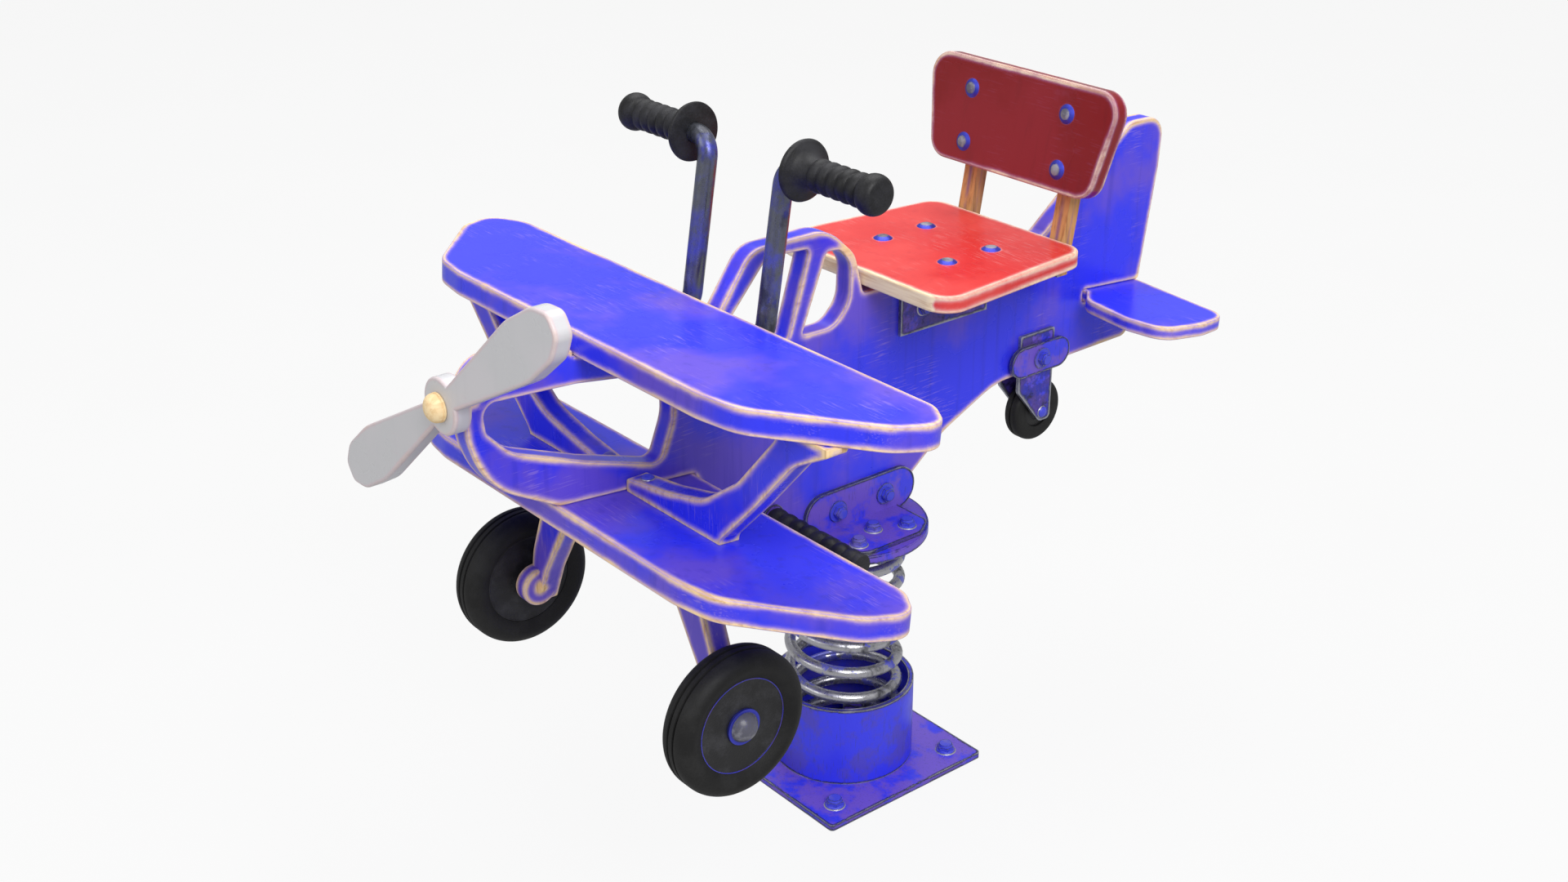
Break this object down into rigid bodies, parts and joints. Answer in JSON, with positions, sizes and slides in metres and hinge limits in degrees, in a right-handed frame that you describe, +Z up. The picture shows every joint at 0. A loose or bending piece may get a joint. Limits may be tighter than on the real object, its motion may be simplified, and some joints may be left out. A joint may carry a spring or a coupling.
{
  "type": "playground spring rider",
  "caption": "Biplane-shaped spring rider: painted boards on a coil spring, with a seat, grips, foot rests, turning wheels and a turning propeller.",
  "frame": {"origin": "centre of the base plate's underside, on the spring's axis", "axes": "+X forward to the propeller, +Y to the rider's left, +Z up"},
  "size_m": [1.1983, 0.881, 0.9543],
  "materials": {
    "blue_board": "worn saturated blue paint over wood, rubbed through at the arrises",
    "red_board": "worn coral and dark red paint over wood",
    "grey_board": "worn light grey paint over wood",
    "bare_wood": "turned bare pine",
    "blue_steel": "worn blue paint over steel",
    "bolts": "steel bolt heads with worn blue paint",
    "spring_steel": "scratched spring steel with remains of paint",
    "tyre_rubber": "matt black rubber",
    "black_rubber": "matt black rubber and plastic"
  },
  "bodies": {
    "base": {"base_plate": "blue_steel", "spring_cup": "blue_steel", "anchor_bolts": "bolts", "lower_clamps": "blue_steel"},
    "spring": {"coil_spring": "spring_steel"},
    "propeller": {"propeller": "grey_board", "propeller_cap": "bare_wood"},
    "left_wheel": {"front_tyre_left": "tyre_rubber", "front_hub_left": "black_rubber"},
    "right_wheel": {"front_tyre_right": "tyre_rubber", "front_hub_right": "black_rubber"},
    "tail_wheel": {"tail_tyre": "tyre_rubber", "tail_hub": "black_rubber"},
    "rider": {"fuselage": "blue_board", "upper_wing": "blue_board", "lower_wing": "blue_board", "tailplane": "blue_board", "strut_left": "blue_board", "strut_right": "blue_board", "leg_left": "blue_board", "leg_right": "blue_board", "back_upright_left": "blue_board", "back_upright_right": "blue_board", "seat": "red_board", "backrest": "red_board", "upper_clamps": "blue_steel", "top_disc": "blue_steel", "seat_bolts": "blue_steel", "peg_collars": "blue_steel", "back_brackets": "blue_steel", "handle_clamps": "blue_steel", "foot_peg_rod": "blue_steel", "spring_bracket_left": "blue_steel", "spring_bracket_right": "blue_steel", "seat_bracket_left": "blue_steel", "seat_bracket_right": "blue_steel", "handle_tube_left": "blue_steel", "handle_tube_right": "blue_steel", "fork_plate_left": "blue_steel", "fork_plate_right": "blue_steel", "tail_link_left": "blue_steel", "tail_link_right": "blue_steel", "bracket_bolts": "bolts", "disc_bolts": "bolts", "strut_bolts": "bolts", "wing_bolts": "bolts", "propeller_shaft": "bolts", "seat_side_bolts": "bolts", "back_bracket_screws": "bolts", "back_bolts": "bolts", "clamp_screws": "bolts", "tail_bolt": "bolts", "tail_axle": "bolts", "front_axle_left": "bolts", "front_axle_right": "bolts", "grip_left": "black_rubber", "grip_right": "black_rubber", "foot_rest_left": "black_rubber", "foot_rest_right": "black_rubber"}
  },
  "joints": [
    {"name": "side_rock", "type": "hinge", "parent": "base", "child": "spring", "pos_m": [0, 0, 0.185], "axis": [1, 0, 0], "range_deg": [-8, 8], "stiffness_Nm_per_rad": 2500, "deforming": ["coil_spring"]},
    {"name": "fore_aft_rock", "type": "hinge", "parent": "spring", "child": "rider", "pos_m": [0, 0, 0.3], "axis": [0, 1, 0], "range_deg": [-12, 12], "stiffness_Nm_per_rad": 2500, "deforming": ["coil_spring"]},
    {"name": "propeller_spin", "type": "hinge", "parent": "rider", "child": "propeller", "pos_m": [0.43, 0, 0.706], "axis": [1, 0, 0], "continuous": true},
    {"name": "left_wheel_spin", "type": "hinge", "parent": "rider", "child": "left_wheel", "pos_m": [0.3735, 0.24, 0.32], "axis": [0, 1, 0], "continuous": true},
    {"name": "right_wheel_spin", "type": "hinge", "parent": "rider", "child": "right_wheel", "pos_m": [0.3735, -0.24, 0.32], "axis": [0, 1, 0], "continuous": true},
    {"name": "tail_wheel_spin", "type": "hinge", "parent": "rider", "child": "tail_wheel", "pos_m": [-0.357, 0, 0.437], "axis": [0, 1, 0], "continuous": true}
  ]
}
